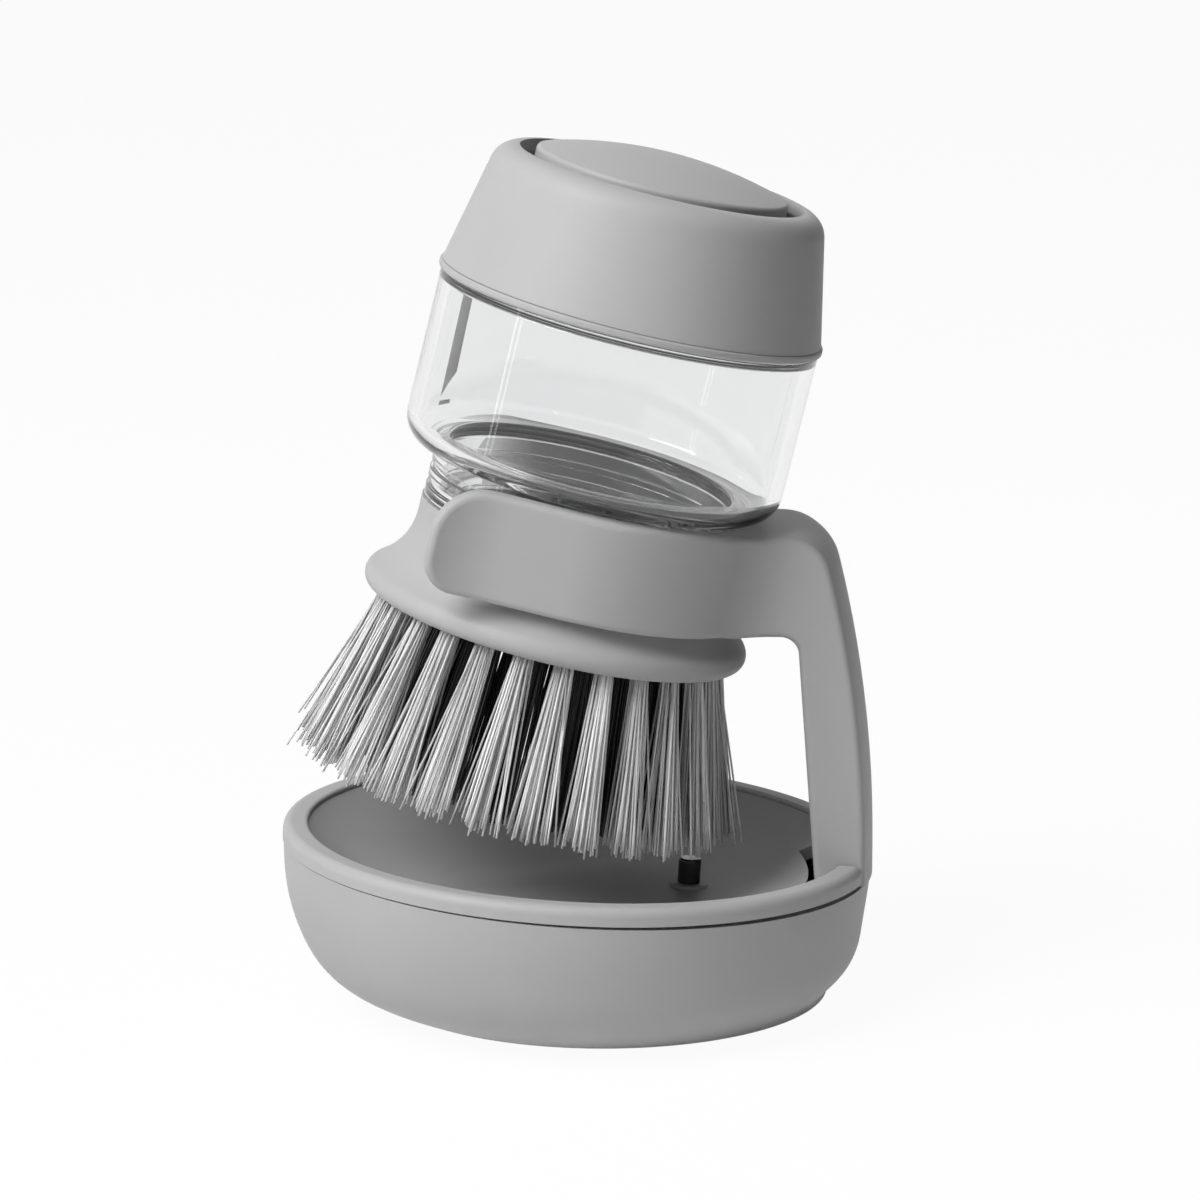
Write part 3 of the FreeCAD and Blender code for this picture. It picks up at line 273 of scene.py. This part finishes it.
def bristle(name, dark, light, sheen):
    """Nylon filament: every strand its own tone, with painted shade that makes it a little darker
    toward the root.
    """
    finish = new_finish(name)
    shade = finish.node("ShaderNodeAttribute", {"attribute_name": "shade"}, out="Fac")
    along = finish.node("ShaderNodeAttribute", {"attribute_name": "along"}, out="Fac")
    streak = finish.mottle(900.0, 1.0)
    # painted shade: the colour falls to three quarters at the root, where the bundle shades its
    # own strands
    tone = (shade * 0.8 + streak * 0.2) * (0.75 + along * 0.25)
    return finish.surface(
        Base_Color=finish.between(tone, dark, light),
        Roughness=sheen + streak * 0.12,
        IOR=1.53,
    )


def soft_black(name, grey, sheen, grain_depth):
    """Black rubber: fine grain and dusty patches."""
    finish = new_finish(name)
    dust = finish.mottle(120.0)
    grain = finish.mottle(3000.0, 2.0)
    return finish.surface(
        Base_Color=finish.between(dust, grey * 0.8, grey * 1.3),
        Roughness=sheen + dust * 0.08,
        Normal=finish.relief(grain, grain_depth, 0.4),
    )


def pale_moulding(name, grey, sheen, clear=0.0):
    """Off-white or see-through soft moulding with faint clouding."""
    finish = new_finish(name)
    cloud = finish.mottle(80.0)
    return finish.surface(
        Base_Color=finish.between(cloud, grey * 0.96, grey * 1.03),
        Roughness=sheen + cloud * 0.08,
        Transmission_Weight=clear,
        Normal=finish.relief(finish.mottle(2000.0, 2.0), GRAIN_DEPTH, 0.3),
    )


def drawn_steel():
    """Bright wire steel with drawing lines along the brush axis."""
    finish = new_finish("steel")
    lines = finish.mottle(400.0, 3.0, stretch=(8.0, 8.0, 1.0))
    return finish.surface(
        Base_Color=finish.between(lines, 0.52, 0.68),
        Metallic=1.0,
        Roughness=0.2 + lines * 0.15,
    )


finishes = {
    "grey_shell": moulded_grey("grey_shell", 0.385),
    "grey_trim": moulded_grey("grey_trim", 0.385),
    "clear_plastic": clear_moulding(),
    "light_bristle": bristle("light_bristle", 0.34, 0.95, 0.32),
    "dark_bristle": bristle("dark_bristle", 0.008, 0.05, 0.32),
    "black_plug": soft_black("black_plug", 0.009, 0.12, 0.000005),
    "clear_silicone": pale_moulding("clear_silicone", 0.78, 0.3, clear=0.5),
    "dark_rubber": soft_black("dark_rubber", 0.05, 0.6, 0.00004),
    "pump_plastic": pale_moulding("pump_plastic", 0.78, 0.35),
    "steel": drawn_steel(),
}
for entry in frame["record"]["subparts"]:
    for part_slot in nodes[entry["node"]].material_slots:
        part_slot.material = finishes[entry["material_slot"]]


# ---------------------------------------------------------------- surfaces


def on_brush(side, across, up):
    """World points from brush-frame coordinates, whole arrays at a time."""
    return (
        SEAT
        + side[..., None] * BRUSH_SIDE
        + across[..., None] * np.array([0.0, 1.0, 0.0])
        + up[..., None] * BRUSH_AXIS
    )


def outward(points, faces):
    """Faces turned so that the volume they enclose, summed by tetrahedra, is positive."""
    a, b, c = (points[faces[:, k]] for k in range(3))
    volume = np.einsum("ij,ij->", np.cross(a, b), c)
    return faces if volume > 0 else faces[:, ::-1]


def new_piece(name, points, faces, attributes=None):
    """Smooth-shaded mesh object from arrays of points and quads, with per-point attributes."""
    mesh = bpy.data.meshes.new(name)
    mesh.from_pydata(points.reshape(-1, 3), [], outward(points.reshape(-1, 3), faces))
    mesh.update()
    mesh.shade_smooth()
    for label, values in (attributes or {}).items():
        layer = mesh.attributes.new(label, "FLOAT", "POINT")
        layer.data.foreach_set("value", values.ravel())
    piece = bpy.data.objects.new(name, mesh)
    bpy.context.collection.objects.link(piece)
    return piece


def grid_faces(rows, columns, closed_rows=False):
    """Quads of a grid whose columns close on themselves, and whose rows may."""
    row = np.arange(rows if closed_rows else rows - 1)[:, None]
    column = np.arange(columns)[None, :]
    ahead = (row + 1) % rows
    beside = (column + 1) % columns
    corners = [
        row * columns + column,
        row * columns + beside,
        ahead * columns + beside,
        ahead * columns + column,
    ]
    return np.stack(np.broadcast_arrays(*corners), axis=-1).reshape(-1, 4)


def tufts(name, count, root, tip, spread, strands, fanning, strays, seed):
    """A ring of bristle bundles.

    Strand points run from a spot in the root disc to a spot in the tip disc: the
    centre moves straight from root radius to tip radius, the spot fans out with
    the way down raised to the power fanning, and a bow that is zero at both ends is
    added. The share strays of all tips scatter more than the rest. Every strand is a
    six-sided tube round that path, a little thinner at its tip.
    """
    rng = np.random.default_rng(seed)
    total = count * strands
    turn = np.repeat(np.arange(count), strands) * 2 * math.pi / count
    reach = np.sqrt(rng.random(total))
    bearing = rng.random(total) * 2 * math.pi
    start = np.stack([np.cos(bearing), np.sin(bearing)]) * reach * TUFT_ROOT * DISC_FILL
    loose = np.where(rng.random(total) < strays, STRAY_SCATTER, EVEN_SCATTER) * spread
    end = start * (spread * DISC_FILL / TUFT_ROOT) + rng.normal(0.0, 1.0, (2, total)) * loose
    far = np.hypot(*end)
    end *= np.minimum(1.0, spread * STRAY_LIMIT / np.maximum(far, 1e-9))
    bow = rng.normal(0.0, BOW, (2, total))
    trim = 1.0 - TRIM_DEPTH * rng.random(total) ** TRIM_POWER
    way = np.linspace(FIRST_RING, 1.0, FILAMENT_RINGS)[:, None] * trim
    fan = way**fanning
    arch = 4.0 * way * (1.0 - way)
    out = root + (tip - root) * way + start[0] + (end[0] - start[0]) * fan + bow[0] * arch
    across = start[1] + (end[1] - start[1]) * fan + bow[1] * arch
    up = TUFT_ROOF + (TIP_PLANE - TUFT_ROOF) * way
    around = np.arange(FILAMENT_SIDES) * 2 * math.pi / FILAMENT_SIDES
    thick = FILAMENT * (1.0 - TIP_TAPER * way)[..., None]
    out = (out[..., None] + np.cos(around) * thick).transpose(1, 0, 2)
    across = (across[..., None] + np.sin(around) * thick).transpose(1, 0, 2)
    up = np.broadcast_to(up[..., None], up.shape + (FILAMENT_SIDES,)).transpose(1, 0, 2)
    spin = turn[:, None, None]
    points = on_brush(
        out * np.cos(spin) - across * np.sin(spin),
        out * np.sin(spin) + across * np.cos(spin),
        up,
    )
    tube = grid_faces(FILAMENT_RINGS, FILAMENT_SIDES)
    last = (FILAMENT_RINGS - 1) * FILAMENT_SIDES
    caps = np.array([[3, 2, 1, 0], [5, 4, 3, 0]])
    caps = np.concatenate([caps, last + caps[:, ::-1]])
    strand = np.concatenate([tube, caps])
    faces = strand[None] + (np.arange(total) * FILAMENT_RINGS * FILAMENT_SIDES)[:, None, None]
    shade = np.broadcast_to(rng.random(total)[:, None, None], out.shape)
    along = np.broadcast_to(way.T[..., None], out.shape)
    return new_piece(name, points, faces.reshape(-1, 4), {"shade": shade, "along": along})


def spring():
    """Return spring: a round wire along a helix that lies flat for a quarter turn at each end.

    The wire's radius shrinks to almost nothing at its first and last step, which closes it.
    """
    turned = np.linspace(0.0, 1.0, COIL_STEPS)
    climb = np.clip((turned - COIL_FLAT) / (1.0 - 2 * COIL_FLAT), 0.0, 1.0)
    angle = (turned * COIL_TURNS * 2 * math.pi)[:, None]
    around = (np.arange(WIRE_SIDES) * 2 * math.pi / WIRE_SIDES)[None, :]
    thick = WIRE * np.where((turned == 0.0) | (turned == 1.0), WIRE_END, 1.0)[:, None]
    radius = COIL_RADIUS + thick * np.cos(around)
    up = (COIL_LOW + (COIL_HIGH - COIL_LOW) * climb)[:, None] + thick * np.sin(around)
    points = on_brush(radius * np.cos(angle), radius * np.sin(angle), up)
    return new_piece("wound_spring", points, grid_faces(COIL_STEPS, WIRE_SIDES))


def turned_wall(name, radius, up):
    """Closed wall profile turned about the brush axis: radius may differ round the turn."""
    rows, sides = radius.shape
    angle = (np.arange(sides) * 2 * math.pi / sides)[None, :]
    height = np.broadcast_to(up[:, None], (rows, sides))
    points = on_brush(radius * np.cos(angle), radius * np.sin(angle), height)
    return new_piece(name, points, grid_faces(rows, sides, closed_rows=True))


def eased(corners, steps):
    """Closed profile with round corners.

    Each corner becomes the circular arc that touches both its sides, written as a
    rational quadratic curve: its ends lie radius / tan(half angle) from the corner
    and its middle weight is sin(half angle). A point just before and just after
    each arc keeps the straight sides straight in the shading.
    """
    spot = np.array(corners)[:, :2] * MM
    radius = np.array(corners)[:, 2] * MM
    ways = [np.roll(spot, 1, axis=0) - spot, np.roll(spot, -1, axis=0) - spot]
    back, on = (way / np.linalg.norm(way, axis=1)[:, None] for way in ways)
    half = np.arccos(np.clip(np.sum(back * on, axis=1), -1.0, 1.0)) / 2
    cut = (radius / np.tan(half))[:, None]
    share = np.linspace(0.0, 1.0, steps)
    ends = (1 - share) ** 2, 2 * share * (1 - share) * np.sin(half)[:, None], share**2
    first, last = spot + back * cut, spot + on * cut
    sums = ends[0][None, :, None] * first[:, None] + ends[1][..., None] * spot[:, None]
    sums = sums + ends[2][None, :, None] * last[:, None]
    arc = sums / (ends[0] + ends[1] + ends[2])[..., None]
    whole = [(first + back * STRAIGHT_KEEP)[:, None], arc, (last + on * STRAIGHT_KEEP)[:, None]]
    return np.concatenate(whole, axis=1).reshape(-1, 2)


def clear_tub():
    """Clear reservoir: its wall turned about the axis, swelling into lugs on the spigot."""
    profile = eased(TUB_WALL, CORNER_STEPS)
    angle = np.arange(TUB_SIDES) * 2 * math.pi / TUB_SIDES
    third = 2 * math.pi / LUG_COUNT
    off = np.abs((angle + third / 2) % third - third / 2)
    low, high = LUG_SPAN
    radius, height = profile.T
    outside = (radius > LUG_BAND[0]) & (radius < LUG_BAND[1])
    level = outside & (height > low - LUG_EDGE) & (height < high + LUG_EDGE)
    swell = level[:, None] & (off < LUG_HALF)[None, :]
    return turned_wall("clear_tub", radius[:, None] + LUG_HEIGHT * swell, height)


def folded_bellows():
    """Bellows: a closed wall profile turned about the brush axis.

    The outside narrows from foot to top with three ripples; the inside follows it
    one skin deeper; the foot carries a flat flange.
    """
    share = np.linspace(0.0, 1.0, BELLOWS_ROWS)
    folds = np.sin(share * BELLOWS_FOLDS * 2 * math.pi)
    ripple = BELLOWS_RIPPLE * folds * np.sin(share * math.pi)
    wall = BELLOWS_FOOT + (BELLOWS_TOP - BELLOWS_FOOT) * share + ripple
    face = PLATE_TOP + BELLOWS_SKIN
    rise = face + (BELLOWS_LID - face) * share
    outer = np.stack([wall, rise])
    inner = np.stack([wall - BELLOWS_SKIN, rise - BELLOWS_SKIN])[:, ::-1]
    lid = np.array([[AXIS_GAP, AXIS_GAP], [BELLOWS_LID, BELLOWS_LID - BELLOWS_SKIN]])
    flange = np.array([[BELLOWS_FLANGE, BELLOWS_FLANGE], [PLATE_TOP, face]])
    profile = np.concatenate([flange, outer, lid, inner], axis=1)
    radius = np.repeat(profile[0][:, None], BELLOWS_SIDES, axis=1)
    return turned_wall("folded_bellows", radius, profile[1])


# ---------------------------------------------------------------- pieces


def fit_piece(piece, node, material_slot, body):
    """Give a new piece its finish and body, and hide the solid that it stands for."""
    piece.data.materials.append(finishes[material_slot])
    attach(piece, body)
    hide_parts(node)


# Piece, node, finish, bundles, root and tip radius and spread in mm, strands per bundle,
# power of the fanning, share of stray strands
rings = [
    ("pale_bristles", "outer_tufts", "light_bristle", 26, 27.9, 36.4, 3.8, 52, 1.1, 0.28),
    ("dark_bristles", "middle_tufts", "dark_bristle", 15, 20.5, 26.5, 3.4, 120, 0.3, 0.3),
    ("core_bristles", "inner_tufts", "dark_bristle", 10, 13.1, 16.6, 3.2, 130, 0.3, 0.3),
]
FIRST_SEED = 5
for seed, (label, node, material_slot, count, root, tip, spread, *manner) in enumerate(rings):
    bundle = tufts(label, count, root * MM, tip * MM, spread * MM, *manner, FIRST_SEED + seed)
    fit_piece(bundle, node, material_slot, "head")

fit_piece(clear_tub(), "reservoir", "clear_plastic", "brush")

for piece, node, material_slot, top in (
    (spring(), "return_spring", "steel", COIL_HIGH + WIRE),
    (folded_bellows(), "bellows", "clear_silicone", BELLOWS_LID),
):
    fit_piece(piece, node, material_slot, "brush")
    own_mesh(piece)


# ---------------------------------------------------------------- studio

world = bpy.data.worlds.new("studio")
bpy.context.scene.world = world
sky = Finish(world)


def seen(finish):
    """1 for rays that show the backdrop: straight from the camera, by gloss or through glass."""
    rays = "Is Camera Ray", "Is Glossy Ray", "Is Transmission Ray"
    straight, gloss, through = (finish.node("ShaderNodeLightPath", out=ray) for ray in rays)
    either = straight.maths("MAXIMUM", straight, gloss)
    return either.maths("MAXIMUM", either, through)


AMBIENT = 0.05  # light of the world on the object; what the camera sees of it is white
shown = seen(sky)
sky.node(
    "ShaderNodeOutputWorld",
    {},
    {
        "Surface": sky.node(
            "ShaderNodeBackground",
            {},
            {"Color": tint(1.0), "Strength": AMBIENT + shown * (1.0 - AMBIENT)},
        )
    },
)

FLOOR_HALF = 3.0
FLOOR_DROP = 0.0003
corner = np.array([[-1, -1], [1, -1], [1, 1], [-1, 1]]) * FLOOR_HALF
floor_mesh = bpy.data.meshes.new("floor")
floor_mesh.from_pydata(np.column_stack([corner, np.full(4, -FLOOR_DROP)]), [], [[0, 1, 2, 3]])
floor = bpy.data.objects.new("floor", floor_mesh)
bpy.context.collection.objects.link(floor)
paper = new_finish("pale_paper")
WHITE_SHARE = 0.95  # the rest of the floor is lit paper, which keeps the shadow
lit_paper = paper.node(
    "ShaderNodeBsdfDiffuse", {}, {"Color": paper.between(paper.mottle(30.0), 0.84, 0.88)}
)
white_paper = paper.node("ShaderNodeEmission", {}, {"Color": tint(1.0), "Strength": 1.0})
paper.node(
    "ShaderNodeOutputMaterial",
    {},
    {
        "Surface": paper.node(
            "ShaderNodeMixShader", {}, {0: seen(paper) * WHITE_SHARE, 1: lit_paper, 2: white_paper}
        )
    },
)
floor_mesh.materials.append(paper.owner)


def studio_card(name, corners, grey, unseen):
    """Upright card by the object that the camera, shadows and the named rays don't meet."""
    mesh = bpy.data.meshes.new(name)
    mesh.from_pydata(np.array(corners), [], [[0, 1, 2, 3]])
    paint = new_finish(name)
    shade = paint.between(paint.mottle(20.0), grey * 0.9, grey * 1.1)
    paint.surface(Base_Color=shade, Roughness=0.9)
    mesh.materials.append(paint.owner)
    card = bpy.data.objects.new(name, mesh)
    for ray in ("camera", "shadow") + unseen:
        setattr(card, f"visible_{ray}", False)
    bpy.context.collection.objects.link(card)


# A black card that shows as a dark streak through the clear wall, and a grey one that
# keeps light off the right side
studio_card(
    "streak_card",
    [(-0.215, 0.8, 0.0), (-0.17, 0.8, 0.0), (-0.17, 0.8, 0.6), (-0.215, 0.8, 0.6)],
    0.01,
    ("diffuse", "glossy"),
)
studio_card(
    "side_card",
    [(0.4, -0.6, 0.0), (0.4, 0.7, 0.0), (0.4, 0.7, 0.8), (0.4, -0.6, 0.8)],
    0.1,
    ("transmission",),
)

MIDDLE = Vector((0.0, 0.0, 0.08))
CAMERA_PLACE = (0.03844, -0.88053, 0.25718)
CAMERA_AIM = Vector((-0.03837, 0.97764, -0.20678))


def softbox(name, place, width, height, power):
    """Rectangular soft light of a power in watts, aimed at the middle of the object."""
    lamp = bpy.data.lights.new(name, "AREA")
    lamp.shape = "RECTANGLE"
    lamp.size = width
    lamp.size_y = height
    lamp.energy = power
    holder = bpy.data.objects.new(name, lamp)
    holder.location = place
    holder.rotation_euler = (MIDDLE - holder.location).to_track_quat("-Z", "Y").to_euler()
    bpy.context.collection.objects.link(holder)


softbox("key_light", (-0.68, -0.63, 0.98), 0.8, 0.8, 20.0)
softbox("top_light", (-0.1, -0.15, 1.1), 0.7, 0.7, 2.0)
softbox("left_strip", (-1.1, -0.5, 0.25), 0.03, 0.8, 0.26)
softbox("right_strip", (0.65, -1.0, 0.25), 0.03, 0.8, 0.26)

lens = bpy.data.cameras.new("camera")
lens.lens = 155.0
lens.sensor_width = 36.0
camera = bpy.data.objects.new("camera", lens)
camera.location = CAMERA_PLACE
camera.rotation_euler = CAMERA_AIM.to_track_quat("-Z", "Y").to_euler()
bpy.context.collection.objects.link(camera)
bpy.context.scene.camera = camera
bpy.context.scene.view_settings.view_transform = "Standard"
